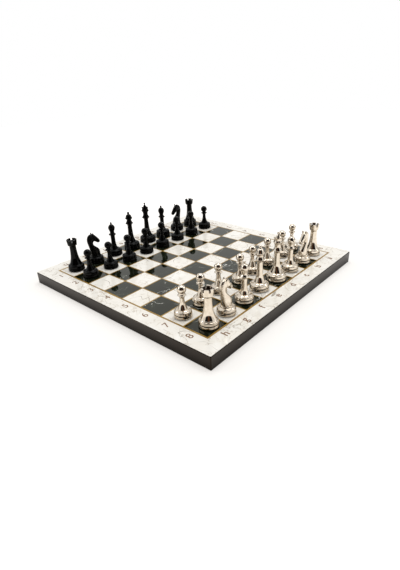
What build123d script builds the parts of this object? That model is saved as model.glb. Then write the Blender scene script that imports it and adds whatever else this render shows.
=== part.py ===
"""A chess set: a board faced with marble laminate, and two armies of sixteen cast chessmen on felt pads.

Frame: the origin is the centre of the board's underside, +X runs from the a file to the h file,
+Y from the first rank to the eighth, and +Z is up. All sizes are in millimetres.
"""

import os
from math import cos, radians, sin, sqrt

from build123d import *

# The board
files = "abcdefgh"
square = 40.0
border_width = 27.0
line_width = 2.0
outer_line_width = 2.8
backing_thickness = 0.6
core_thickness = 18.0
face_thickness = 0.6
arris = 0.6
corner_round = 1.5
backing_margin = 2.0

field_width = len(files) * square
board_width = field_width + 2 * border_width
face_width = board_width - 2 * arris
window_width = field_width - line_width + 2 * outer_line_width
tile_width = square - line_width
core_top = backing_thickness + core_thickness
board_top = core_top + face_thickness

# Felt pads, each let into the underside of a chessman
pad_thickness = 1.5
pad_proud = 0.5
pad_margin = 2.8
recess_margin = 2.5

# The base that every kind of chessman has: a foot ring, a groove and a cushion ring, whose sides lean in
ring_lean = 9.0
foot_height = 5.0
foot_heel = 1.5
foot_brow = 0.7
groove_depth = 1.6
groove_top = 5.4
cushion_inset = 0.3
cushion_heel = 0.9
cushion_brow = 1.5
cushion_top = 10.3
shoulder_bulge = 0.5

# Base radius and height of each kind
base_radius = {"pawn": 12.3, "rook": 13.3, "knight": 13.2, "bishop": 13.4, "queen": 14.4, "king": 15.0}
height = {"pawn": 45.2, "rook": 53.0, "knight": 52.5, "bishop": 59.5, "queen": 67.5, "king": 75.0}

# Turned stems, as radius and height: the shoulder's top, the flare up to the waist, the collar and the neck
shoulder_end = {"pawn": (6.3, 11.8), "bishop": (6.4, 12.0), "queen": (7.8, 12.6), "king": (9.0, 12.6)}
stem_flare = {
    "pawn": [(4.9, 15.6), (3.7, 19.8), (3.1, 23.6), (3.0, 26.8)],
    "bishop": [(5.2, 15.2), (4.4, 18.4), (3.9, 23.0), (3.8, 33.0)],
    "queen": [(6.3, 16.8), (5.0, 22.0), (4.3, 31.0), (4.0, 41.5)],
    "king": [(7.0, 17.2), (5.3, 23.0), (4.3, 33.0), (3.9, 42.0)],
}
collar_rim = {"pawn": (5.7, 31.5), "bishop": (6.2, 37.6), "queen": (6.8, 46.8), "king": (6.9, 47.2)}
neck_start = {"pawn": (3.5, 33.2), "bishop": (3.8, 40.4), "queen": (4.9, 50.0), "king": (4.8, 51.0)}
flange_edge = 0.5
cove_depth = 0.7

# The pawn's ball, and the beads on the other heads
ball_radius = 6.0
ball_neck = 3.4
bead_radius = {"bishop": 1.75, "queen": 2.2, "king": 1.6}
bead_neck = {"bishop": 0.9, "queen": 1.5, "king": 0.8}

# The bishop's mitre and its slanting cut
mitre = [(4.6, 45.0), (5.8, 48.8), (4.7, 53.0)]
mitre_tip = (1.3, 55.9)
mitre_cut_width = 1.2
mitre_cut_length = 9.0
mitre_cut_middle = (4.4, 51.8)
mitre_cut_tilt = 60.0

# The queen's coronet
coronet_rim = (6.5, 56.0)
coronet_step = (4.7, 60.6)
coronet_dome = (1.7, 62.9)
coronet_bulge = 0.6

# The king's crown, an open cup with a spire in it
crown_flange = (6.9, 60.0)
crown_waist = (5.6, 62.6)
crown_rim = (6.2, 66.0)
crown_wall = 0.7
crown_floor = [(4.7, 64.6), (3.9, 64.7)]
crown_spire = [(2.4, 68.6), (0.9, 71.4)]
neck_hollow = 1.1

# The rook's tower and battlements
tower_foot = (9.9, 11.4)
tower_flare = [(8.3, 15.4), (6.7, 21.2), (5.6, 30.0), (5.2, 40.0)]
battlement_foot = (7.4, 44.0)
battlement_radius = 8.3
battlement_wall = 2.4
battlement_depth = 4.4
crenel_width = 2.4
crenel_depth = 3.6
crenel_pairs = 3

# The knight's plinth, and its horse: the side outline, facing +X, and half of the front outline
plinth_radius = 8.8
plinth_foot = 11.4
plinth_top = 13.4
plinth_round = 0.8
horse_sunk = 1.0
horse_reach = 20.0
chest = [(8.5, 17.4), (6.8, 23.2), (0.2, 29.4), (-2.0, 33.2), (-0.8, 36.2)]
jaw = [(2.0, 36.8), (4.8, 34.4), (6.8, 32.8)]
muzzle = [(9.8, 32.4), (11.8, 35.0), (11.2, 38.0)]
forehead = [(7.8, 42.6), (4.6, 46.6), (1.6, 49.8)]
ear_tip = (-0.4, height["knight"])
ear_back = (-3.0, 51.0)
mane = [(-7.4, 50.0), (-11.0, 45.4), (-12.0, 40.0), (-10.4, 31.0), (-8.4, 20.0)]
flank = [(5.6, 21.0), (3.7, 31.0), (3.7, 41.0), (3.9, 47.0)]
haunch_width = 7.4
ear_spread = 3.0
ear_gap_height = 49.8

# The armies, set up with the kings on the d file, and the chessmen that stand off the middle of a square
back_rank = {"a": "rook", "b": "knight", "c": "bishop", "d": "king",
             "e": "queen", "f": "bishop", "g": "knight", "h": "rook"}
armies = {"black": (1, 2), "silver": (8, 7)}
single_kinds = ("king", "queen")
off_centre = {
    "silver_rook_h": (-1.2, 4.3),
    "silver_knight_g": (1.5, 3.0),
    "silver_bishop_f": (0.8, 2.5),
    "silver_king": (-2.0, 2.2),
    "silver_bishop_c": (-2.0, 2.2),
    "silver_knight_b": (-2.0, 2.2),
    "silver_pawn_h": (1.7, 3.3),
    "silver_pawn_g": (1.6, -0.2),
    "silver_pawn_f": (1.5, -1.6),
    "silver_pawn_e": (-3.0, 3.3),
    "silver_pawn_c": (-0.7, 0.8),
    "silver_pawn_b": (-2.4, 2.7),
}

os.makedirs("parts", exist_ok=True)


def save(shape, name):
    """Label a finished piece and write its file."""
    shape.label = name
    export_step(shape, f"parts/{name}.step")


def ring_outline(start, heel, brow, rise):
    """Draw a ring from its underside up: rounded heel, side that leans in, rounded brow. Gives its end."""
    lean = radians(ring_lean)
    slant = (rise - heel * (1 + sin(lean)) - brow * (1 - sin(lean))) / cos(lean)
    lower = JernArc(start, (1, 0), heel, 90 + ring_lean)
    side = PolarLine(lower @ 1, slant, 90 + ring_lean)
    upper = JernArc(side @ 1, side % 1, brow, 90 - ring_lean)
    return upper @ 1


def base_outline(radius):
    """Draw a base from the axis out: pad recess, foot ring, groove and cushion ring. Gives its end."""
    recess = radius - recess_margin
    groove = radius - groove_depth
    heel_start = (radius - foot_heel, pad_proud)
    sole = Polyline((0, pad_thickness), (recess, pad_thickness), (recess, pad_proud), heel_start)
    foot = ring_outline(sole @ 1, foot_heel, foot_brow, foot_height - pad_proud)
    ledge = (radius - cushion_inset - cushion_heel, groove_top)
    waist = Polyline(foot, (groove, foot_height), (groove, groove_top), ledge)
    return ring_outline(waist @ 1, cushion_heel, cushion_brow, cushion_top - groove_top)


def flange_outline(start, rim, end, hollow):
    """Draw a thin flange: a hollow curve out to it, its rounded rim, and the slope in to its end."""
    radius, middle = rim
    cove = SagittaArc(start, (radius - flange_edge, middle - flange_edge), hollow)
    edge = ThreePointArc(cove @ 1, rim, (radius - flange_edge, middle + flange_edge))
    slope = Line(edge @ 1, end)
    return slope @ 1


def stem_outline(kind):
    """Draw the base, shoulder, flared stem and collar of a turned chessman. Gives the start of its neck."""
    ring = base_outline(base_radius[kind])
    shoulder = SagittaArc(ring, shoulder_end[kind], -shoulder_bulge)
    rise = Vector(*stem_flare[kind][0]) - (shoulder @ 1)
    flare = Spline([shoulder @ 1, *stem_flare[kind]], tangents=[rise, (0, 1)])
    return flange_outline(flare @ 1, collar_rim[kind], neck_start[kind], cove_depth)


def ball_outline(start, neck, radius, top):
    """Draw a ball on a narrower neck, up to the axis."""
    middle = top - radius
    throat = Line(start, (neck, middle - sqrt(radius**2 - neck**2)))
    ThreePointArc(throat @ 1, (radius, middle), (0, top))


def pawn_outline():
    """Draw a pawn, whose head is a ball."""
    ball_outline(stem_outline("pawn"), ball_neck, ball_radius, height["pawn"])


def bishop_outline():
    """Draw a bishop, whose head is an egg-shaped mitre with a bead."""
    egg = Spline([stem_outline("bishop"), *mitre, mitre_tip], tangents=[(0, 1), (-1, 0.5)])
    ball_outline(egg @ 1, bead_neck["bishop"], bead_radius["bishop"], height["bishop"])


def queen_outline():
    """Draw a queen, whose head is a coronet with a dome and a bead."""
    step = flange_outline(stem_outline("queen"), coronet_rim, coronet_step, neck_hollow)
    dome = SagittaArc(step, coronet_dome, -coronet_bulge)
    ball_outline(dome @ 1, bead_neck["queen"], bead_radius["queen"], height["queen"])


def king_outline():
    """Draw a king, whose head is a cupped crown with a beaded spire."""
    waist = flange_outline(stem_outline("king"), crown_flange, crown_waist, neck_hollow)
    cup = SagittaArc(waist, crown_rim, crown_wall / 2)
    bowl = Polyline(cup @ 1, (crown_rim[0] - crown_wall, crown_rim[1]), *crown_floor)
    spire = Spline([bowl @ 1, *crown_spire])
    ball_outline(spire @ 1, bead_neck["king"], bead_radius["king"], height["king"])


def rook_outline():
    """Draw a rook, a tower that flares into a hollow ring of battlements."""
    foot = SagittaArc(base_outline(base_radius["rook"]), tower_foot, -shoulder_bulge / 4)
    rise = Vector(*tower_flare[0]) - (foot @ 1)
    tower = Spline([foot @ 1, *tower_flare], tangents=[rise, (0, 1)])
    cove = SagittaArc(tower @ 1, battlement_foot, cove_depth)
    top = height["rook"]
    inside = battlement_radius - battlement_wall
    well = top - battlement_depth
    Polyline(cove @ 1, (battlement_radius, top), (inside, top), (inside, well), (0, well))


def plinth_outline():
    """Draw the knight's base and the round plinth under its horse."""
    ring = base_outline(base_radius["knight"])
    shoulder = SagittaArc(ring, (plinth_radius, plinth_foot), -shoulder_bulge / 2)
    side = Line(shoulder @ 1, (plinth_radius, plinth_top - plinth_round))
    brim = JernArc(side @ 1, (0, 1), plinth_round, 90)
    Line(brim @ 1, (0, plinth_top))


def turned(outline):
    """Turn an outline, given as the function that draws it, about the upright axis."""
    with BuildPart() as casting:
        with BuildSketch(Plane.XZ):
            with BuildLine() as half:
                outline()
                Line(half.line @ 1, half.line @ 0)
            make_face()
        revolve(axis=Axis.Z)
    return casting.part


# The kinds that the lathe finishes
casting = {
    "pawn": turned(pawn_outline),
    "queen": turned(queen_outline),
    "king": turned(king_outline),
}

# The bishop, with a slanting cut in the front of its mitre
with BuildPart() as bishop:
    add(turned(bishop_outline))
    with BuildSketch(Plane.XZ):
        with Locations(mitre_cut_middle):
            Rectangle(mitre_cut_length, mitre_cut_width, rotation=mitre_cut_tilt)
    extrude(amount=base_radius["bishop"], both=True, mode=Mode.SUBTRACT)
casting["bishop"] = bishop.part

# The rook, with crenels cut across its rim in pairs
with BuildPart() as rook:
    add(turned(rook_outline))
    with BuildSketch(Plane.XY.offset(height["rook"] - crenel_depth)):
        with PolarLocations(0, crenel_pairs, angular_range=180):
            Rectangle(4 * battlement_radius, crenel_width)
    extrude(amount=2 * crenel_depth, mode=Mode.SUBTRACT)
casting["rook"] = rook.part

# The horse, where its side outline and its front outline meet
horse_foot = plinth_top - horse_sunk
with BuildPart() as horse:
    with BuildSketch(Plane.XZ):
        with BuildLine() as side:
            breast = Spline([(chest[0][0], horse_foot), *chest])
            chin = Spline([breast @ 1, *jaw])
            nose = Spline([chin @ 1, *muzzle])
            brow = Spline([nose @ 1, *forehead])
            ear = Polyline(brow @ 1, ear_tip, ear_back)
            crest = Spline([ear @ 1, *mane, (mane[-1][0], horse_foot)])
            Line(crest @ 1, breast @ 0)
        make_face()
    extrude(amount=haunch_width, both=True)
    with BuildSketch(Plane.YZ):
        with BuildLine() as front:
            sill = Line((0, horse_foot), (haunch_width, horse_foot))
            cheek = Spline([sill @ 1, *flank])
            Polyline(cheek @ 1, (ear_spread, height["knight"]), (0, ear_gap_height))
            mirror(about=Plane.YZ)
        make_face()
    extrude(amount=horse_reach, both=True, mode=Mode.INTERSECT)

# The knight, the horse on its plinth
with BuildPart() as knight:
    add(turned(plinth_outline))
    add(horse.part)
casting["knight"] = knight.part


def set_down(name, kind, file, rank):
    """Cast one chessman with its felt pad, on its square, facing the middle files."""
    column = files.index(file)
    row = rank - 1
    middle = (len(files) - 1) / 2
    nudge_x, nudge_y = off_centre.get(name, (0, 0))
    place = ((column - middle) * square + nudge_x, (row - middle) * square + nudge_y, board_top)
    turn = 0 if column < middle else 180
    with BuildPart() as body:
        with Locations(Location(place, (0, 0, turn))):
            add(casting[kind])
    with BuildPart() as pad:
        with BuildSketch(Plane(place)):
            Circle(base_radius[kind] - pad_margin)
        extrude(amount=pad_thickness)
    return body.part, pad.part


# Both armies: the officers' pads are pieces of their own, and a pawn's pad stays with its pawn
for army, (officer_rank, pawn_rank) in armies.items():
    for file, kind in back_rank.items():
        name = f"{army}_{kind}" if kind in single_kinds else f"{army}_{kind}_{file}"
        body, pad = set_down(name, kind, file, officer_rank)
        save(body, name)
        save(pad, f"{name}_felt")
    for file in files:
        name = f"{army}_pawn_{file}"
        body, pad = set_down(name, "pawn", file, pawn_rank)
        save(Compound([body.solid(), pad.solid()]), name)

# The core panel, black all round, with its upper edge taken off
with BuildPart() as board_core:
    with BuildSketch(Plane.XY.offset(backing_thickness)):
        RectangleRounded(board_width, board_width, corner_round)
    extrude(amount=core_thickness)
    chamfer(board_core.faces().sort_by(Axis.Z)[-1].edges(), arris)
save(board_core.part, "board_core")

# The cloth backing that the board rests on
with BuildPart() as backing_sheet:
    with BuildSketch():
        RectangleRounded(board_width - 2 * backing_margin, board_width - 2 * backing_margin, corner_round)
    extrude(amount=backing_thickness)
save(backing_sheet.part, "backing_sheet")

# The border frame around the field
with BuildPart() as border_frame:
    with BuildSketch(Plane.XY.offset(core_top)):
        RectangleRounded(face_width, face_width, corner_round)
        Rectangle(window_width, window_width, mode=Mode.SUBTRACT)
    extrude(amount=face_thickness)
save(border_frame.part, "border_frame")

# The gold lines, a grid with a window for each square
with BuildPart() as gold_lines:
    with BuildSketch(Plane.XY.offset(core_top)):
        Rectangle(window_width, window_width)
        with GridLocations(square, square, len(files), len(files)):
            Rectangle(tile_width, tile_width, mode=Mode.SUBTRACT)
    extrude(amount=face_thickness)
save(gold_lines.part, "gold_lines")

# The squares: the corner at the a file and first rank is dark, and the colours take turns from there
for name, first in (("dark_squares", 0), ("light_squares", 1)):
    with BuildPart() as squares:
        with BuildSketch(Plane.XY.offset(core_top)):
            for index, spot in enumerate(GridLocations(square, square, len(files), len(files)).locations):
                if (index // len(files) + index) % 2 == first:
                    with Locations(spot):
                        Rectangle(tile_width, tile_width)
        extrude(amount=face_thickness)
    save(squares.part, name)
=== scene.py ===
# %% [markdown]
# A chess set on a marble-faced board. The model's solids are loaded as a fixed frame, and this lesson
# dresses them: the camera and the light come first, then the finishes, then the pieces that a lathe and
# a flat panel can't give, which are the carved horses and the marks on the border.

# %% Load the frame
import math

import bpy
import numpy as np
from mathutils import Matrix, Vector


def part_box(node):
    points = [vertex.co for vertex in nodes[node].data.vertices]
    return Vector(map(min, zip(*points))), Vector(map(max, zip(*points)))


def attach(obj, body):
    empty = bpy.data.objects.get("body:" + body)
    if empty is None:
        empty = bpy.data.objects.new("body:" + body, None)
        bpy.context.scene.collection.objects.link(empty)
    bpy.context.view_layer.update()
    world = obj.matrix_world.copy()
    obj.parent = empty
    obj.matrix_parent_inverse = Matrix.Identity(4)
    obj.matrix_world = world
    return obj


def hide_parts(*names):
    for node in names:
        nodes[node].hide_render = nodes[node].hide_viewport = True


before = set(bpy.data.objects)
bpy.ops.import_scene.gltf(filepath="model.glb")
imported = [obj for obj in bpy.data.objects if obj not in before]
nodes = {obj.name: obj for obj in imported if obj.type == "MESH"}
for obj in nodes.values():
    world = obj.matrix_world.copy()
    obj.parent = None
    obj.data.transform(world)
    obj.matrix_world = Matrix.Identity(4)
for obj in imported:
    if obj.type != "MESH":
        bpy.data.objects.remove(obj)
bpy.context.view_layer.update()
MM = 0.001
SQUARE = 40 * MM
BOARD_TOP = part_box("light_squares")[1][2]
scene = bpy.context.scene
scene.view_settings.view_transform = "Standard"
print("nodes", len(nodes), "board top", round(BOARD_TOP, 4))

# %% [markdown]
# The camera stands where the photographer stood. The grid of squares gives that place: with the squares'
# corners known, only one viewpoint and one lens put all of them where they are seen. It is written in
# squares from the middle of the field, as the rest of the board is.

# %% Camera
VIEWPOINT = Vector((11.554, 10.641, 6.914)) * SQUARE
TURN, TILT, ROLL = (math.radians(angle) for angle in (132.19, 27.09, -2.69))
FOCAL_LENGTH = 25.71


def camera_axes(turn, tilt, roll):
    """The camera's right, up and back directions: back points from the board to the camera, right is level,
    and both right and up are then rolled about back."""
    back = Vector((math.sin(turn) * math.cos(tilt), -math.cos(turn) * math.cos(tilt), math.sin(tilt)))
    right = Vector((math.cos(turn), math.sin(turn), 0))
    up = back.cross(right)
    rolled_right = math.cos(roll) * right + math.sin(roll) * up
    rolled_up = math.cos(roll) * up - math.sin(roll) * right
    return rolled_right, rolled_up, back


lens = bpy.data.cameras.new("camera")
lens.lens = FOCAL_LENGTH
lens.clip_start = 0.01
camera = bpy.data.objects.new("camera", lens)
scene.collection.objects.link(camera)
camera_turn = Matrix(camera_axes(TURN, TILT, ROLL)).transposed().to_4x4()
camera.matrix_world = Matrix.Translation(VIEWPOINT + Vector((0, 0, BOARD_TOP))) @ camera_turn
scene.camera = camera
print("camera", [round(v, 3) for v in camera.location])

# %% [markdown]
# Every finish is a small graph of nodes. Two helpers keep the graphs short: one turns a colour as a painter
# would name it, an sRGB hex value, into the linear numbers that a renderer needs, and one adds a node with
# its settings and its links in a single call.

# %% Helpers for finishes


def linear(hex_colour, alpha=1.0):
    """An sRGB hex colour as linear RGBA."""
    channels = np.array([int(hex_colour[i:i + 2], 16) / 255 for i in (1, 3, 5)])
    value = np.where(channels <= 0.04045, channels / 12.92, ((channels + 0.055) / 1.055) ** 2.4)
    return (*value.tolist(), alpha)


def add_node(tree, kind, settings=None, links=None, **values):
    """Add one node: settings are its properties, links feed its inputs from other sockets, and values are
    the inputs that stay constant, by name, with underscores for spaces."""
    node = tree.nodes.new(kind)
    for key, value in (settings or {}).items():
        setattr(node, key, value)
    for key, value in values.items():
        node.inputs[key.replace("_", " ")].default_value = value
    for key, socket in (links or {}).items():
        tree.links.new(socket, node.inputs[key])
    return node


def new_finish(name):
    """A new material, its node tree, its surface shader and the Object coordinates that patterns read."""
    material = bpy.data.materials.new(name)
    material.use_nodes = True
    tree = material.node_tree
    shader = tree.nodes["Principled BSDF"]
    place = add_node(tree, "ShaderNodeTexCoord").outputs["Object"]
    return material, tree, shader, place


def ramp_between(tree, factor, stops):
    """A colour ramp over a factor: stops are (position, linear colour)."""
    node = add_node(tree, "ShaderNodeValToRGB", links={"Fac": factor})
    elements = node.color_ramp.elements
    while len(elements) < len(stops):
        elements.new(0.5)
    for element, (position, colour) in zip(elements, stops):
        element.position = position
        element.color = colour
    return node.outputs["Color"]


print("mid grey in linear light", round(linear("#808080")[0], 3))

# %% [markdown]
# Both marbles are printed laminates under a clear gloss. Marble's veins are cracks filled with another
# mineral: thin, broken, wandering lines. A noise field is near its middle value only along thin winding
# lines, so the distance of a noise from one half draws them, and a second, slower noise breaks them up.

# %% Veins
PATCH_SOFTNESS = 0.12


def vein_lines(tree, place, size, width, detail, patch_size, patch_cut, seed):
    """Vein strength from 0 to 1: high where a warped noise, size metres across, is within width of its
    middle value, and only where a slower noise, patch_size across, is above patch_cut. More detail makes
    the lines more jagged."""
    shifted = add_node(tree, "ShaderNodeMapping", links={"Vector": place}, Location=(seed, 2 * seed, 0))
    noise = add_node(tree, "ShaderNodeTexNoise", links={"Vector": shifted.outputs["Vector"]},
                     Scale=1 / size, Detail=detail, Roughness=0.55, Distortion=0.7)
    offset = add_node(tree, "ShaderNodeMath", {"operation": "SUBTRACT"}, {0: noise.outputs["Fac"]})
    offset.inputs[1].default_value = 0.5
    away = add_node(tree, "ShaderNodeMath", {"operation": "ABSOLUTE"}, {0: offset.outputs[0]})
    line = add_node(tree, "ShaderNodeMapRange", {"interpolation_type": "SMOOTHSTEP"},
                    {"Value": away.outputs[0]}, From_Min=0.0, From_Max=width, To_Min=1.0, To_Max=0.0)
    patch = add_node(tree, "ShaderNodeTexNoise", links={"Vector": shifted.outputs["Vector"]},
                     Scale=1 / patch_size, Detail=2.0)
    here = add_node(tree, "ShaderNodeMapRange", {"interpolation_type": "SMOOTHSTEP"},
                    {"Value": patch.outputs["Fac"]}, From_Min=patch_cut, From_Max=patch_cut + PATCH_SOFTNESS)
    both = add_node(tree, "ShaderNodeMath", {"operation": "MULTIPLY"},
                    {0: line.outputs[0], 1: here.outputs[0]})
    return both.outputs[0]


print("veins fade out over", PATCH_SOFTNESS, "of the slower noise")

# %% [markdown]
# The laminate lays each set of veins over soft clouds between two near colours. Its gloss is a thin clear
# film, so the reflection is sharp and, at a low angle, nearly as bright as what it mirrors.

# %% Marble


def mixed(tree, factor, first, second):
    """Mix two colours, each a socket or a linear colour, by a factor socket."""
    node = add_node(tree, "ShaderNodeMix", {"data_type": "RGBA"}, {"Factor": factor})
    for socket, colour in ((node.inputs[6], first), (node.inputs[7], second)):
        if isinstance(colour, tuple):
            socket.default_value = colour
        else:
            tree.links.new(colour, socket)
    return node.outputs[2]


def marble_laminate(name, clouds, cloud_size, veins, gloss):
    """Printed marble under clear gloss: soft clouds between two colours, with each set of veins laid over.
    veins are (size, width, detail, patch size, patch cut, seed, colour)."""
    material, tree, shader, place = new_finish(name)
    haze = add_node(tree, "ShaderNodeTexNoise", links={"Vector": place}, Scale=1 / cloud_size, Detail=4.0,
                    Roughness=0.6, Distortion=0.4)
    colour = ramp_between(tree, haze.outputs["Fac"], [(0.3, linear(clouds[0])), (0.72, linear(clouds[1]))])
    for *pattern, vein in veins:
        colour = mixed(tree, vein_lines(tree, place, *pattern), colour, linear(vein))
    tree.links.new(colour, shader.inputs["Base Color"])
    shader.inputs["Roughness"].default_value = gloss["roughness"]
    shader.inputs["IOR"].default_value = 1.5
    shader.inputs["Specular IOR Level"].default_value = gloss["specular"]
    shader.inputs["Specular Tint"].default_value = linear(gloss["tint"])
    return material


white_marble = marble_laminate(
    "white_marble_laminate",
    ("#f4eee2", "#fffcf5"),
    30 * MM,
    [
        (16 * MM, 0.020, 5.0, 30 * MM, 0.42, 4.1, "#d9d0c1"),
        (36 * MM, 0.012, 4.0, 45 * MM, 0.44, 1.3, "#c2b8a8"),
        (60 * MM, 0.007, 1.5, 40 * MM, 0.50, 9.2, "#968c7e"),
    ],
    {"roughness": 0.08, "specular": 0.4, "tint": "#ffffff"},
)
black_marble = marble_laminate(
    "black_marble_laminate",
    ("#0a0d06", "#191e13"),
    24 * MM,
    [
        (20 * MM, 0.012, 5.0, 40 * MM, 0.48, 2.9, "#565c50"),
        (45 * MM, 0.007, 3.0, 45 * MM, 0.49, 7.7, "#efeee6"),
    ],
    {"roughness": 0.04, "specular": 0.34, "tint": "#fffee2"},
)
print("marble", white_marble.name, black_marble.name)

# %% [markdown]
# The silver men are zinc castings, polished and plated with nickel, which is a warm silver. The black men
# are the same castings under gloss lacquer. Polishing by hand leaves a faint waviness that bends the
# reflections, and lacquer leaves the slight orange peel of sprayed paint: both are a very low bump. The
# plate's colour is painted dark as shade in the groove of a base, and in a silver rook's well and the gaps
# of its battlements, where the plate is also duller; a painted shadow darkens the sole.

# %% Polish
GROOVE_LOW, GROOVE_HIGH = BOARD_TOP + 4.75 * MM, BOARD_TOP + 5.95 * MM
SOLE_HIGH = BOARD_TOP + 1.2 * MM


def waved(tree, shader, place, size, height):
    """A low, soft bump, size metres across and height metres deep, on a shader's normal."""
    noise = add_node(tree, "ShaderNodeTexNoise", links={"Vector": place}, Scale=1 / size, Detail=2.0)
    bump = add_node(tree, "ShaderNodeBump", links={"Height": noise.outputs["Fac"]},
                    Strength=1.0, Distance=height)
    tree.links.new(bump.outputs["Normal"], shader.inputs["Normal"])
    return noise.outputs["Fac"]


def painted_groove_and_sole_shade(tree, place):
    """Painted shade, from 0 to 1, by height: all of it in the groove, and at the sole as a painted shadow."""
    height = add_node(tree, "ShaderNodeSeparateXYZ", links={"Vector": place}).outputs["Z"]
    middle, reach = (GROOVE_LOW + GROOVE_HIGH) / 2, (GROOVE_HIGH - GROOVE_LOW) / 2
    groove = add_node(tree, "ShaderNodeMath", {"operation": "COMPARE"}, {0: height})
    groove.inputs[1].default_value = middle
    groove.inputs[2].default_value = reach
    sole = add_node(tree, "ShaderNodeMath", {"operation": "LESS_THAN"}, {0: height})
    sole.inputs[1].default_value = SOLE_HIGH
    both = add_node(tree, "ShaderNodeMath", {"operation": "MAXIMUM"},
                    {0: groove.outputs[0], 1: sole.outputs[0]})
    return both.outputs[0]


print("unpolished from", round(GROOVE_LOW, 5), "to", round(GROOVE_HIGH, 5), "and below", round(SOLE_HIGH, 5))

# %% [markdown]
# Nickel is a metal, so its colour is the colour of its reflection. Lacquer is a clear resin over black, so it
# is black with a thin white reflection on top.

# %% Castings


def plated_nickel():
    """Polished nickel plate: a metal of warm grey, mirror-bright, duller by a touch in patches."""
    material, tree, shader, place = new_finish("polished_nickel_plate")
    wave = waved(tree, shader, place, 5 * MM, 0.02 * MM)
    colour = ramp_between(tree, wave, [(0.35, linear("#cbbfae")), (0.65, linear("#d9cfc0"))])
    # Painted shade: the colour darkens to brown in the base's groove, and a painted shadow darkens the sole.
    colour = mixed(tree, painted_groove_and_sole_shade(tree, place), colour, linear("#2c221a"))
    tree.links.new(colour, shader.inputs["Base Color"])
    shader.inputs["Metallic"].default_value = 1.0
    shader.inputs["Roughness"].default_value = 0.05
    return material


def well_shade_nickel():
    """Nickel plate for a rook's well: the same metal, duller, its colour painted dark and faintly brown as
    shade.
    """
    material, tree, shader, place = new_finish("well_nickel_painted_shade")
    wave = waved(tree, shader, place, 2 * MM, 0.02 * MM)
    # The colour of the well's plate is painted shade: dark and faintly brown.
    colour = ramp_between(tree, wave, [(0.35, linear("#65574b")), (0.65, linear("#7b6d60"))])
    tree.links.new(colour, shader.inputs["Base Color"])
    shader.inputs["Metallic"].default_value = 1.0
    shader.inputs["Roughness"].default_value = 0.3
    return material


def gloss_lacquer():
    """Black sprayed lacquer: nearly black, with a hard gloss."""
    material, tree, shader, place = new_finish("gloss_black_lacquer")
    wave = waved(tree, shader, place, 3 * MM, 0.012 * MM)
    colour = ramp_between(tree, wave, [(0.3, linear("#020202")), (0.7, linear("#050404"))])
    tree.links.new(colour, shader.inputs["Base Color"])
    shader.inputs["Roughness"].default_value = 0.05
    shader.inputs["IOR"].default_value = 1.5
    shader.inputs["Specular IOR Level"].default_value = 0.1
    return material


nickel = plated_nickel()
well_shade_plate = well_shade_nickel()
lacquer = gloss_lacquer()
print("castings", nickel.name, well_shade_plate.name, lacquer.name)

# %% [markdown]
# The quieter finishes: gold foil for the lines and marks, a black painted edge on the fibreboard core, and
# felt. Felt is drawn with fibres a little coarser than real ones, because real ones are too fine to show.

# %% Foil, paint and felt


def gold_foil(name, dark, pale, metallic):
    """Stamped gold foil, a brownish gold with a worn, uneven sheen."""
    material, tree, shader, place = new_finish(name)
    wear = add_node(tree, "ShaderNodeTexNoise", links={"Vector": place}, Scale=1 / (12 * MM), Detail=4.0)
    colour = ramp_between(tree, wear.outputs["Fac"], [(0.3, linear(dark)), (0.7, linear(pale))])
    tree.links.new(colour, shader.inputs["Base Color"])
    shader.inputs["Metallic"].default_value = metallic
    shader.inputs["Roughness"].default_value = 0.38
    return material


def painted_edge():
    """Black satin paint over fibreboard, with the fine pebble of a roller."""
    material, tree, shader, place = new_finish("satin_black_edge_paint")
    pebble = waved(tree, shader, place, 1.2 * MM, 0.03 * MM)
    colour = ramp_between(tree, pebble, [(0.3, linear("#120d09")), (0.7, linear("#1a130d"))])
    tree.links.new(colour, shader.inputs["Base Color"])
    shader.inputs["Roughness"].default_value = 0.16
    shader.inputs["Specular IOR Level"].default_value = 0.2
    shader.inputs["Specular Tint"].default_value = linear("#ffe2c4")
    return material


def pressed_felt(name, dark, pale):
    """Pressed wool felt: short matted fibres, matt, with a soft edge sheen."""
    material, tree, shader, place = new_finish(name)
    fibre = add_node(tree, "ShaderNodeTexNoise", links={"Vector": place}, Scale=1 / (0.8 * MM), Detail=6.0,
                     Roughness=0.8, Distortion=1.5)
    colour = ramp_between(tree, fibre.outputs["Fac"], [(0.3, linear(dark)), (0.7, linear(pale))])
    tree.links.new(colour, shader.inputs["Base Color"])
    bump = add_node(tree, "ShaderNodeBump", links={"Height": fibre.outputs["Fac"]}, Distance=0.2 * MM)
    tree.links.new(bump.outputs["Normal"], shader.inputs["Normal"])
    shader.inputs["Roughness"].default_value = 0.95
    shader.inputs["Sheen Weight"].default_value = 0.3
    return material


line_foil = gold_foil("stamped_gold_foil", "#88651a", "#a6832f", 0.2)
mark_foil = gold_foil("stamped_brown_foil", "#6c4208", "#7e5010", 0.0)
edge_paint = painted_edge()
pad_felt = pressed_felt("pressed_pad_felt", "#0c0c0c", "#1d1d1c")
backing_felt = pressed_felt("backing_cloth", "#101110", "#222422")
print("board", line_foil.name, mark_foil.name, edge_paint.name, backing_felt.name)

# %% [markdown]
# The board's sheets and the turned men keep the shapes of their solids and only take their finishes. A
# pawn's node holds its felt pad too, so the faces of the pad, which lie below the casting's recess, get the
# felt. The edge is painted after the sheets are laid, so the paint covers the border sheet's outer rim too.
# The faces in a silver rook's well and the gaps of its battlements get the duller plate, painted dark as
# shade.

# %% Which faces get which finish
PAD_THICKNESS, PAD_MARGIN = 1.5 * MM, 2.8 * MM
RIM_REACH, RIM_STEEPNESS = 1.0 * MM, 0.5
WELL_REACH, WELL_DEPTH, WELL_SLOPE = 7.8 * MM, 4.45 * MM, 10
SLACK, PAD_SLACK = 0.05 * MM, 0.01 * MM


def node_corners(node):
    """The low and the high corner of a node's box, as arrays."""
    low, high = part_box(node)
    return np.array(low), np.array(high)


def face_vectors(node, kind):
    """The centres or the normals of a node's faces, one row for each face."""
    faces = nodes[node].data.polygons
    values = np.empty(len(faces) * 3)
    faces.foreach_get(kind, values)
    return values.reshape(-1, 3)


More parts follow.
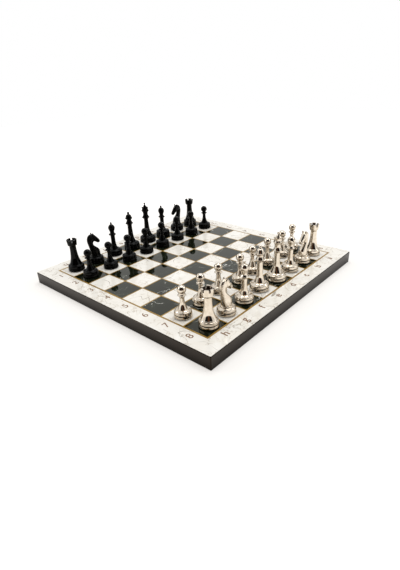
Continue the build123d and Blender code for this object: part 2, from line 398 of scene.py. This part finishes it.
def felt_faces(node):
    """For each face of a pawn's node: 1 where the face belongs to the felt pad, else 0. The pad is what lies
    within its own thickness of the board and within its own radius of the axis."""
    low, high = node_corners(node)
    middle = (low + high)[:2] / 2
    radius = (high - low)[0] / 2 - PAD_MARGIN
    centres = face_vectors(node, "center")
    near = np.hypot(*(centres[:, :2] - middle).T) < radius + SLACK
    return (near & (centres[:, 2] < low[2] + PAD_THICKNESS - PAD_SLACK)).astype(np.int32)


def well_faces(node):
    """For each face of a rook's node: 1 where the face lies in the well or in a gap of the battlements, which
    is below their top and well within their wall, else 0. The wall leans in by one in WELL_SLOPE."""
    low, high = node_corners(node)
    centres = face_vectors(node, "center")
    depth = high[2] - centres[:, 2]
    reach = np.hypot(*(centres - (low + high) / 2)[:, :2].T)
    inside = reach < WELL_REACH - depth / WELL_SLOPE
    return (inside & (depth > SLACK) & (depth < WELL_DEPTH)).astype(np.int32)


def rim_faces(node):
    """For each face of a sheet: 1 where the face stands upright on the sheet's outer rim, else 0."""
    outer = np.abs(face_vectors(node, "center")[:, :2]).max(axis=1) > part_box(node)[1][0] - RIM_REACH
    upright = np.abs(face_vectors(node, "normal")[:, 2]) < RIM_STEEPNESS
    return (outer & upright).astype(np.int32)


print("painted rim faces", rim_faces("border_frame").sum())

# %% [markdown]
# A solid with two finishes has two material slots, and each of its faces holds the number of its slot.

# %% Dress the solids
board_finishes = {
    "board_core": edge_paint,
    "backing_sheet": backing_felt,
    "light_squares": white_marble,
    "dark_squares": black_marble,
    "gold_lines": line_foil,
}
army_finishes = {"silver": nickel, "black": lacquer}


def give_finish(node, *finishes, chosen=None):
    """Put finishes into a node's material slots, in order, and give each face its chosen slot."""
    mesh = nodes[node].data
    mesh.materials.clear()
    for finish in finishes:
        mesh.materials.append(finish)
    if chosen is not None:
        mesh.polygons.foreach_set("material_index", chosen)


for node, finish in board_finishes.items():
    give_finish(node, finish)
give_finish("border_frame", white_marble, edge_paint, chosen=rim_faces("border_frame"))
for node in nodes:
    army = node.split("_")[0]
    if army not in army_finishes:
        continue
    if node.endswith("_felt"):
        give_finish(node, pad_felt)
    elif "_pawn_" in node:
        give_finish(node, army_finishes[army], pad_felt, chosen=felt_faces(node))
    elif node.startswith("silver_rook_"):
        # The well's faces get the plate that is painted dark as shade.
        give_finish(node, nickel, well_shade_plate, chosen=well_faces(node))
    else:
        give_finish(node, army_finishes[army])
print("dressed", len(nodes), "solids")

# %% [markdown]
# A knight is a horse's head on a round plinth. Seen from the side it lies between two lines: the crest, from
# the mane over the poll and down the forehead to the nose, and the breast line, from the chest up to the
# throat and along the jaw to the lips. Pairs of points on the two lines, with a half width for each pair,
# carry an oval section from the plinth to the nose. The carving is laid on as soft bumps and grooves.

# %% The horse
# Each row: breast line x and z, crest x and z, half width, in millimetres, facing +X from the board up.
HORSE_SECTIONS = np.array([
    (7.9, 12.6, -7.7, 12.6, 6.8),
    (8.5, 17.0, -8.2, 17.5, 6.2),
    (7.4, 22.4, -8.9, 24.0, 5.0),
    (2.2, 27.6, -10.2, 31.0, 4.0),
    (-1.2, 31.2, -11.5, 37.0, 3.5),
    (-1.9, 34.2, -11.6, 42.4, 3.4),
    (-0.9, 36.3, -9.4, 47.6, 3.5),
    (0.8, 36.8, -4.8, 50.3, 3.7),
    (2.6, 36.2, 0.5, 50.0, 3.8),
    (4.4, 34.9, 4.5, 46.5, 3.6),
    (6.2, 33.5, 7.7, 42.7, 3.2),
    (8.0, 32.7, 10.1, 39.6, 2.9),
    (9.8, 32.7, 11.5, 37.2, 2.6),
    (10.8, 33.8, 11.5, 35.6, 1.8),
])
HORSE_STEPS, HORSE_ROUND = 12, 96
SQUARENESS = 2.3
print("horse sections", len(HORSE_SECTIONS), "rise to", HORSE_SECTIONS[:, 3].max(), "mm")

# %% [markdown]
# The tools for carving: a smooth curve through the rows of sections, a squared-off sine for the oval, and
# soft bumps, round or drawn out along a stroke, placed where they show in the side view.

# %% Carving tools

def smooth_path(points, steps):
    """A Catmull-Rom curve through the rows of points, with so many steps to each stretch."""
    ends = np.vstack([2 * points[0] - points[1], points, 2 * points[-1] - points[-2]])
    t = (np.arange(steps) / steps)[None, :, None]
    p0, p1, p2, p3 = (ends[i:len(ends) - 3 + i, None, :] for i in range(4))
    square, cube = 2 * p0 - 5 * p1 + 4 * p2 - p3, 3 * p1 - 3 * p2 + p3 - p0
    bend = 2 * p1 + (p2 - p0) * t + square * t**2 + cube * t**3
    return np.vstack([bend.reshape(-1, points.shape[1]) / 2, points[-1:]])


def rounded(wave, power):
    """A sine or cosine flattened towards a square wave, as a superellipse has it."""
    return np.sign(wave) * np.abs(wave) ** (2 / power)


def dab(x, z, spot, size):
    """A round bump of height 1 and the given size, centred on a spot of the side view."""
    return np.exp(-((x - spot[0]) ** 2 + (z - spot[1]) ** 2) / size**2)


def stroke(x, z, start, end, size):
    """A bump of height 1 along a straight stroke from start to end of the side view."""
    along = np.subtract(end, start)
    share = np.clip(((x - start[0]) * along[0] + (z - start[1]) * along[1]) / (along @ along), 0, 1)
    return dab(x, z, (start[0] + share * along[0], start[1] + share * along[1]), size)


print("a bump is", round(dab(1.0, 0.0, (0, 0), 1.0), 3), "as high at its size from the middle")

# %% [markdown]
# The carving is added to the half width, so it stands out on both sides of the head alike. The mane parts
# into locks by a sine along the neck, and the face is a handful of bumps and hollows.

# %% Carve the horse
# Each row: height of the bump, its spot in the side view and its size, in millimetres: cheek, brow, socket
# and ball of the eye, nostril, muzzle
FACE_DABS = (
    (0.8, (1.8, 40.6), 3.2),
    (0.7, (2.2, 46.8), 1.3),
    (-0.9, (3.2, 45.2), 1.0),
    (0.9, (3.2, 45.2), 0.5),
    (-0.8, (10.4, 37.2), 0.8),
    (0.4, (9.8, 36.4), 1.7),
)
# Each row: height of the stroke, its start and end in the side view and its size: mouth, edge of the jaw
FACE_STROKES = (
    (-0.6, (11.2, 34.6), (7.4, 35.2), 0.4),
    (-0.6, (0.0, 37.6), (-2.0, 46.8), 0.9),
)
# The mane's edge, as a cosine round the section, and its softness; the row of sections where it begins to
# rise and the rows that takes; the row where it ends and the rows that takes; its locks to a row; their lean
MANE_EDGE, MANE_SOFTNESS = 0.45, 0.2
MANE_START, MANE_RISE, MANE_END, MANE_FALL = 0.6, 4.0, 7.3, 0.5
LOCKS, LOCK_LEAN = 2.6, 1.8
# Its relief in millimetres: the even part, the locks at the sides and the locks along the crest
MANE_RELIEF, LOCK_RELIEF, CREST_RELIEF = 0.25, 0.4, 0.15


def horse_grid():
    """The horse as a grid of points: rows run from plinth to nose, columns go round the section, from the
    crest by the left side to the breast line and back. In millimetres."""
    rows = smooth_path(HORSE_SECTIONS, HORSE_STEPS)
    step = (np.arange(len(rows)) / HORSE_STEPS)[:, None]
    angle = np.linspace(0, 2 * np.pi, HORSE_ROUND, endpoint=False)[None, :]
    fore, rear, width = rows[:, None, 0:2], rows[:, None, 2:4], rows[:, None, 4]
    reach = rounded(np.cos(angle), SQUARENESS)[..., None]
    side = rounded(np.sin(angle), SQUARENESS)
    flat = (fore + rear) / 2 + (rear - fore) / 2 * reach
    x, z = flat[..., 0], flat[..., 1]
    # The mane: a band along the crest that rises from the plinth up, parted into locks that lean back
    band = np.clip((np.cos(angle) - MANE_EDGE) / MANE_SOFTNESS, 0, 1)
    band = band * np.clip((step - MANE_START) / MANE_RISE, 0, 1)
    band = band * np.clip((MANE_END - step) / MANE_FALL, 0, 1)
    locks = np.abs(np.sin(np.pi * (LOCKS * step + LOCK_LEAN * np.cos(angle))))
    relief = band * (MANE_RELIEF + LOCK_RELIEF * locks)
    for bump, *shape in FACE_DABS:
        relief = relief + bump * dab(x, z, *shape)
    for bump, *shape in FACE_STROKES:
        relief = relief + bump * stroke(x, z, *shape)
    y = side * width + np.sign(side) * relief * np.abs(side) ** 0.5
    crest = band * (CREST_RELIEF * locks)
    outward = (rear - fore) / np.linalg.norm(rear - fore, axis=2, keepdims=True)
    x = x + crest * outward[..., 0] * np.clip(np.cos(angle), 0, 1)
    z = z + crest * outward[..., 1] * np.clip(np.cos(angle), 0, 1)
    return np.stack([x, y, z], axis=2)


print("horse grid", horse_grid().shape)

# %% [markdown]
# An ear is a leaf on a round stem: its radius shrinks to nothing at the tip, and its front is pressed in.

# %% Ears
EAR_ROOT, EAR_TIP = np.array((-1.4, 2.3, 47.8)), np.array((-0.4, 3.0, 52.4))
EAR_RADIUS, EAR_TAPER, EAR_POINT = 1.8, 0.25, 0.02
EAR_HOLLOW, EAR_FLATNESS = 0.7, 0.8
EAR_STEPS, EAR_ROUND = 12, 24


def ear_grid(side):
    """One ear: a leaf that tapers from its root to its tip, hollowed in front. side is 1 or -1."""
    share = np.linspace(0, 1, EAR_STEPS + 1)[:, None]
    angle = np.linspace(0, 2 * np.pi, EAR_ROUND, endpoint=False)[None, :]
    radius = EAR_RADIUS * np.sqrt(1 - share**3) * (1 - EAR_TAPER * share) + EAR_POINT
    hollow = EAR_HOLLOW * np.clip(np.cos(angle), 0, 1) ** 2 * np.sin(np.pi * share)
    x = EAR_ROOT[0] + (EAR_TIP - EAR_ROOT)[0] * share + EAR_FLATNESS * radius * np.cos(angle) - hollow
    y = EAR_ROOT[1] + (EAR_TIP - EAR_ROOT)[1] * share + radius * np.sin(angle)
    z = EAR_ROOT[2] + (EAR_TIP - EAR_ROOT)[2] * share + 0 * angle
    return np.stack([x, side * y, z], axis=2)


print("ear grid", ear_grid(1).shape)

# %% [markdown]
# The plinth is turned, so its outline is carried round an axis. The outline follows the solid's: foot ring,
# groove, cushion ring, shoulder and drum, in millimetres. The sides of both rings lean in by a few degrees.

# %% The plinth
TURN_STEPS = 96
RING_LEAN = 9


def bow(start, end, rise, steps=8):
    """Points from start to end on a shallow parabola that stands rise to the right of the straight line."""
    start, end = np.array(start, float), np.array(end, float)
    share = np.linspace(0, 1, steps)[:, None]
    along = end - start
    right = np.array((along[1], -along[0])) / np.hypot(*along)
    return start + along * share + 4 * rise * share * (1 - share) * right


def corner(middle, radius, first, last, steps=10):
    """Points on an arc about middle, between two angles in degrees."""
    angle = np.radians(np.linspace(first, last, steps))
    return np.stack([middle[0] + radius * np.cos(angle), middle[1] + radius * np.sin(angle)], axis=1)


def plinth_outline(radius=13.2, drum=8.8, drum_top=13.4):
    """Radius and height of the knight's plinth, from the recess for the pad out, up and in to the axis."""
    return np.vstack([
        [(0, 1.5), (radius - 2.5, 1.5), (radius - 2.5, 0.5)],
        corner((radius - 1.5, 2.0), 1.5, -90, RING_LEAN),
        corner((radius - 1.05, 4.3), 0.7, RING_LEAN, 90),
        [(radius - 1.6, 5.0), (radius - 1.6, 5.4)],
        corner((radius - 1.2, 6.3), 0.9, -90, RING_LEAN),
        corner((radius - 2.2, 8.8), 1.5, RING_LEAN, 90),
        bow((radius - 2.2, 10.3), (drum, 11.4), 0.25),
        corner((drum - 0.8, drum_top - 0.8), 0.8, 0, 90),
        [(0, drum_top)],
    ])


def turned_grid(outline):
    """An outline of radius and height carried round the upright axis."""
    angle = np.linspace(0, 2 * np.pi, TURN_STEPS, endpoint=False)[None, :]
    radius, height = outline[:, :1], outline[:, 1:]
    return np.stack([radius * np.cos(angle), radius * np.sin(angle), height + 0 * angle], axis=2)


print("plinth outline", len(plinth_outline()), "points")

# %% [markdown]
# A grid becomes a closed surface when its columns join up and each end is closed by a fan of triangles to the
# middle of its last ring. Edges sharper than a set angle stay crisp, and all others are shaded smooth.

# %% Surfaces from grids
SHARP_ANGLE = math.radians(40)


def grid_faces(rows, columns, first):
    """Quads of a grid that closes round its columns, its points counted from first."""
    row, column = np.meshgrid(np.arange(rows - 1), np.arange(columns), indexing="ij")
    after = (column + 1) % columns
    quads = np.stack([row * columns + column, row * columns + after,
                      (row + 1) * columns + after, (row + 1) * columns + column], axis=2).reshape(-1, 4)
    return (quads + first).tolist()


def closed_surface(grids):
    """Points and faces of several grids, each closed at both ends by a fan of triangles."""
    points, faces = [], []
    for grid in grids:
        first = sum(len(block) for block in points)
        rows, columns = grid.shape[:2]
        faces += grid_faces(rows, columns, first)
        ends = np.stack([grid[0].mean(axis=0), grid[-1].mean(axis=0)])
        points.append(np.vstack([grid.reshape(-1, 3), ends]))
        low, high = first + rows * columns, first + rows * columns + 1
        ring = np.arange(columns)
        after = (ring + 1) % columns
        faces += np.stack([np.full(columns, low), first + after, first + ring], axis=1).tolist()
        last = first + (rows - 1) * columns
        faces += np.stack([np.full(columns, high), last + ring, last + after], axis=1).tolist()
    return np.vstack(points), faces


def add_piece(name, points, faces, finish, body, replaced=()):
    """Make a smooth mesh piece that rides on a body, and stands for the nodes that it replaces."""
    mesh = bpy.data.meshes.new(name)
    mesh.from_pydata(points.tolist(), [], faces)
    mesh.validate()
    mesh.polygons.foreach_set("use_smooth", np.ones(len(mesh.polygons), dtype=bool))
    mesh.set_sharp_from_angle(angle=SHARP_ANGLE)
    mesh.materials.append(finish)
    piece = bpy.data.objects.new(name, mesh)
    scene.collection.objects.link(piece)
    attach(piece, body)
    if replaced:
        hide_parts(*replaced)


print("edges stay crisp from", round(math.degrees(SHARP_ANGLE)), "degrees")

# %% [markdown]
# Plinth, horse and two ears make one knight. Each of the four stands in for the solid on its square and rides
# on the same body. On the b file it faces one way along the rank, and on the g file the other.

# %% Knights
knight_points, knight_faces = closed_surface(
    [turned_grid(plinth_outline()), horse_grid(), ear_grid(1), ear_grid(-1)]
)
for army, finish in army_finishes.items():
    for file, facing in (("b", 1), ("g", -1)):
        node = f"{army}_knight_{file}"
        low, high = node_corners(node)
        seat = np.array([*(low + high)[:2] / 2, BOARD_TOP])
        placed = knight_points * MM * np.array((facing, facing, 1)) + seat
        add_piece(f"{node}_carved", placed, knight_faces, finish, node, [node])
print("knight faces", len(knight_faces))

# %% [markdown]
# The marks on the border are foil too: files a to h along the two ends and ranks 1 to 8 up the two sides,
# each set upright for the player nearest to it. Each mark is a flat letter with a hair of thickness.

# %% Marks on the border
MARK_OFFSET = 10.5 * MM
MARK_HEIGHT = 11.3 * MM
FOIL_LIFT = 0.04 * MM
# In the font's own unit, the size of its letters
FOIL_THICKNESS = 0.002
LETTER_SPREAD, DIGIT_SPREAD = 0.012, 0.0
CAPITAL_HEIGHT = 0.729
FIELD_HALF = 4 * SQUARE


def mark_shape(character, spread):
    """A character's flat mesh points and faces, its strokes widened by spread, scaled so that a capital's
    height is 1, centred on x and on half of that height."""
    curve = bpy.data.curves.new("mark", "FONT")
    curve.body = character
    curve.extrude = FOIL_THICKNESS
    curve.offset = spread
    curve.resolution_u = 4
    letter = bpy.data.objects.new("mark", curve)
    mesh = bpy.data.meshes.new_from_object(letter)
    points = np.empty(len(mesh.vertices) * 3)
    mesh.vertices.foreach_get("co", points)
    faces = [list(face.vertices) for face in mesh.polygons]
    bpy.data.objects.remove(letter)
    bpy.data.curves.remove(curve)
    bpy.data.meshes.remove(mesh)
    points = points.reshape(-1, 3)
    points[:, 0] -= (points[:, 0].min() + points[:, 0].max()) / 2
    return points / CAPITAL_HEIGHT - np.array((0, 0.5, 0)), faces


mark_points, mark_faces = [], []
for index in range(8):
    along = (index - 3.5) * SQUARE
    across = FIELD_HALF + MARK_OFFSET
    for character, spread, near, far in (
        ("abcdefgh"[index], LETTER_SPREAD, (along, across), (along, -across)),
        ("12345678"[index], DIGIT_SPREAD, (across, along), (-across, along)),
    ):
        points, faces = mark_shape(character, spread)
        for (x, y), upright in ((near, -1), (far, 1)):
            first = sum(len(block) for block in mark_points)
            scale = np.array((upright * MARK_HEIGHT, upright * MARK_HEIGHT, MARK_HEIGHT))
            mark_points.append(points * scale + np.array((x, y, BOARD_TOP + FOIL_LIFT)))
            mark_faces += [[v + first for v in face] for face in faces]
add_piece("border_marks", np.vstack(mark_points), mark_faces, mark_foil, "board")
print("mark faces", len(mark_faces))

# %% [markdown]
# The studio starts with its surround, an even white. What looks straight at it, or sees it mirrored, sees
# full white, while it lights matt surfaces a good deal less.

# %% Surround
SURROUND_LIGHT = 0.64

world = bpy.data.worlds.new("studio")
world.use_nodes = True
scene.world = world
sky = world.node_tree
background = sky.nodes["Background"]
path = add_node(sky, "ShaderNodeLightPath")
seen = add_node(sky, "ShaderNodeMath", {"operation": "MAXIMUM"},
                {0: path.outputs["Is Camera Ray"], 1: path.outputs["Is Glossy Ray"]})
seen = add_node(sky, "ShaderNodeMath", {"operation": "MAXIMUM"},
                {0: seen.outputs[0], 1: path.outputs["Is Transmission Ray"]})
level = add_node(sky, "ShaderNodeMapRange", links={"Value": seen.outputs[0]},
                 To_Min=SURROUND_LIGHT, To_Max=1.0)
background.inputs["Color"].default_value = (1, 1, 1, 1)
sky.links.new(level.outputs[0], background.inputs["Strength"])
print("surround", world.name, "lights at", SURROUND_LIGHT)

# %% [markdown]
# The floor is white paper. Its glow keeps it white in the picture, and the shadow under the board stays. The
# glow is weaker near the board, a painted soft shadow round it, and the board's glossy edge mirrors the strip
# of floor beside it, whose glow is painted darker towards the board as a shadow.

# %% Floor
FLOOR_SIZE = 6.0
BOARD_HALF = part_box("board_core")[1][0]
# How much of the glow is seen: directly, between two distances from the middle, and mirrored, from the edge
# of the board outwards. Both are weaker near the board, as a painted shadow.
SEEN_SHADOW_REACH, SEEN_SHADOW_GLOW = (0.2, 0.5), (0.52, 1.0)
MIRRORED_SHADOW_FADE, MIRRORED_SHADOW_GLOW = 20 * MM, (0.2, 0.82)


def flat_card(name, corners, finish):
    """A flat stage card with the given corners, in order round it."""
    mesh = bpy.data.meshes.new(name)
    mesh.from_pydata(corners, [], [tuple(range(len(corners)))])
    mesh.materials.append(finish)
    card = bpy.data.objects.new(name, mesh)
    scene.collection.objects.link(card)
    return card


def floor_finish():
    """White paper: it takes shadows as matt white, and its own glow, for what looks at it, makes it white.
    Under the board there is no glow, near it the glow is weaker as a painted soft shadow, and what a polished
    surface sees of it fades towards the board as a painted shadow."""
    material, tree, shader, place = new_finish("white_paper_sweep")
    shader.inputs["Base Color"].default_value = linear("#c4c4c4")
    shader.inputs["Roughness"].default_value = 1.0
    shader.inputs["Specular IOR Level"].default_value = 0.0
    shader.inputs["Emission Color"].default_value = linear("#fffaf3")
    spread = add_node(tree, "ShaderNodeVectorMath", {"operation": "ABSOLUTE"}, {0: place})
    spread = add_node(tree, "ShaderNodeSeparateXYZ", links={"Vector": spread.outputs["Vector"]})
    reach = add_node(tree, "ShaderNodeMath", {"operation": "MAXIMUM"},
                     {0: spread.outputs["X"], 1: spread.outputs["Y"]})
    clear = add_node(tree, "ShaderNodeMath", {"operation": "GREATER_THAN"}, {0: reach.outputs[0]})
    clear.inputs[1].default_value = BOARD_HALF
    # Painted shadow: the glow that is seen directly is weaker near the board.
    level = add_node(tree, "ShaderNodeMapRange", {"interpolation_type": "SMOOTHSTEP"},
                     {"Value": reach.outputs[0]}, From_Min=SEEN_SHADOW_REACH[0], From_Max=SEEN_SHADOW_REACH[1],
                     To_Min=SEEN_SHADOW_GLOW[0], To_Max=SEEN_SHADOW_GLOW[1])
    # Painted shadow: the glow that polished surfaces see fades towards the board.
    polished = add_node(tree, "ShaderNodeMapRange", {"interpolation_type": "SMOOTHSTEP"},
                        {"Value": reach.outputs[0]}, From_Min=BOARD_HALF, From_Max=BOARD_HALF + MIRRORED_SHADOW_FADE,
                        To_Min=MIRRORED_SHADOW_GLOW[0], To_Max=MIRRORED_SHADOW_GLOW[1])
    sight = add_node(tree, "ShaderNodeLightPath")
    direct = add_node(tree, "ShaderNodeMath", {"operation": "MAXIMUM"},
                      {0: sight.outputs["Is Camera Ray"], 1: sight.outputs["Is Transmission Ray"]})
    direct = add_node(tree, "ShaderNodeMath", {"operation": "MULTIPLY"},
                      {0: direct.outputs[0], 1: clear.outputs[0]})
    direct = add_node(tree, "ShaderNodeMath", {"operation": "MULTIPLY"},
                      {0: direct.outputs[0], 1: level.outputs[0]})
    glow = add_node(tree, "ShaderNodeMath", {"operation": "MULTIPLY_ADD"},
                    {0: sight.outputs["Is Glossy Ray"], 1: polished.outputs[0], 2: direct.outputs[0]})
    tree.links.new(glow.outputs[0], shader.inputs["Emission Strength"])
    return material


half = FLOOR_SIZE / 2
flat_card("floor", [(-half, -half, 0), (half, -half, 0), (half, half, 0), (-half, half, 0)], floor_finish())
print("floor", FLOOR_SIZE, "m, board half width", round(BOARD_HALF, 4))

# %% [markdown]
# A soft lamp hangs overhead and leaves a glint on the black lacquer, and a weaker one stands at each side to
# draw a bright line down the turned shapes. All three face the middle of the board.

# %% Lamps
LAMP_AIM = Vector((0, 0, 0))
SIDE_REACH, SIDE_SIZE, SIDE_POWER = 1.2, 0.25, 1.5


def soft_lamp(name, place, size, power):
    """A square area lamp at a place, turned towards the middle of the board."""
    lamp = bpy.data.lights.new(name, "AREA")
    lamp.shape = "SQUARE"
    lamp.size = size
    lamp.energy = power
    holder = bpy.data.objects.new(name, lamp)
    holder.location = place
    holder.rotation_euler = (LAMP_AIM - Vector(place)).to_track_quat("-Z", "Y").to_euler()
    scene.collection.objects.link(holder)


image_right, upward, away = camera_axes(TURN, TILT, 0)
soft_lamp("overhead", (-0.25, -0.05, 1.3), size=0.75, power=6.0)
for side, reach, height in (("left", -SIDE_REACH, 0.8), ("right", SIDE_REACH, 0.9)):
    soft_lamp(f"{side}_strip", reach * image_right + Vector((0, 0, height)), SIDE_SIZE, SIDE_POWER)
print("lamps", [light.name for light in bpy.data.lights])

# %% [markdown]
# Polished metal shows only what stands around it, so dark cards stand around the board and draw the silver.
# The camera doesn't see them, and they cast no shadow and take no light from matt surfaces.

# %% Dark cards around the board
CARD_REACH, CARD_GAP = 1.15, 0.05
CARD_SIDES = 48


def card_finish(name, colour):
    """A matt card of one colour."""
    material, _, shader, _ = new_finish(name)
    shader.inputs["Base Color"].default_value = linear(colour)
    shader.inputs["Roughness"].default_value = 1.0
    return material


def hidden_card(name, corners, paint):
    """A card that only polished surfaces see."""
    card = flat_card(name, corners, paint)
    card.visible_camera = False
    card.visible_shadow = False
    card.visible_diffuse = False


def round_card(name, reach, half_width, half_height, lift, paint):
    """An oval card that faces the board from behind the camera, raised by lift along its own plane."""
    middle = away * reach + upward * lift
    turns = np.linspace(0, 2 * np.pi, CARD_SIDES, endpoint=False)
    corners = [middle + image_right * half_width * math.cos(turn) + upward * half_height * math.sin(turn)
               for turn in turns]
    hidden_card(name, corners, paint)


black_card = card_finish("black_card", "#060403")
brown_card = card_finish("brown_card", "#7a4f36")
round_card("card_camera", CARD_REACH, half_width=1.35, half_height=1.1, lift=0.0, paint=black_card)
round_card("card_middle", CARD_REACH - CARD_GAP, half_width=0.2, half_height=0.55, lift=-0.4,
           paint=brown_card)
for side, bearing, half_width, card_height in (
    ("left", 120, 0.5, 0.3),
    ("right", -120, 0.5, 0.3),
    ("far", 180, 1.15, 0.12),
):
    outward = Vector((math.sin(TURN), -math.cos(TURN), 0))
    outward.rotate(Matrix.Rotation(math.radians(bearing), 3, "Z"))
    foot = outward * CARD_REACH
    along = outward.cross(Vector((0, 0, 1))) * half_width
    top = Vector((0, 0, card_height))
    corners = [foot - along, foot + along, foot + along + top, foot - along + top]
    hidden_card(f"card_{side}", corners, black_card)
